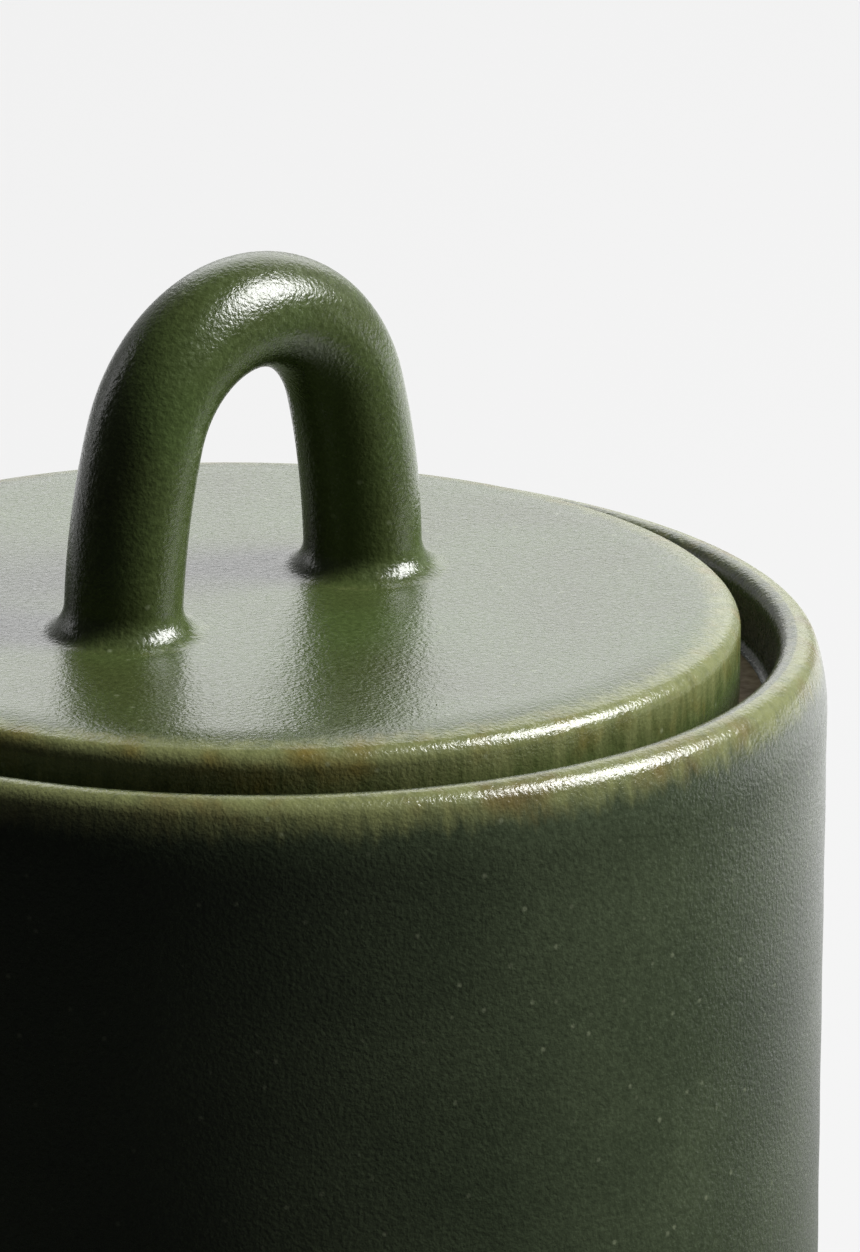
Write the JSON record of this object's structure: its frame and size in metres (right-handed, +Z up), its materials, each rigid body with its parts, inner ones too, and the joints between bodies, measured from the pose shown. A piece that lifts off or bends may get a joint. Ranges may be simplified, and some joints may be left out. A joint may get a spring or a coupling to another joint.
{
  "type": "lidded stoneware jar",
  "caption": "Round stoneware food jar with a lid that drops inside the rim, a loop handle on the lid and a hidden soft seal round the lid's collar.",
  "frame": {"origin": "centre of the foot ring, on the surface that the jar stands on", "axes": "+Z up along the jar's axis, +X along the loop handle, from leg to leg"},
  "size_m": [0.12, 0.12, 0.1599],
  "materials": {
    "jar_glaze": "satin olive green stoneware glaze",
    "lid_glaze": "satin olive green stoneware glaze",
    "handle_glaze": "satin olive green stoneware glaze",
    "seal_silicone": "matt food-grade silicone"
  },
  "bodies": {
    "jar": {"jar_body": "jar_glaze"},
    "lid": {"lid": "lid_glaze", "lid_handle": "handle_glaze", "lid_seal": "seal_silicone"}
  },
  "joints": [
    {"name": "lid_lift", "type": "slide", "parent": "jar", "child": "lid", "axis": [0, 0, 1], "range_m": [0, 0.07]}
  ]
}
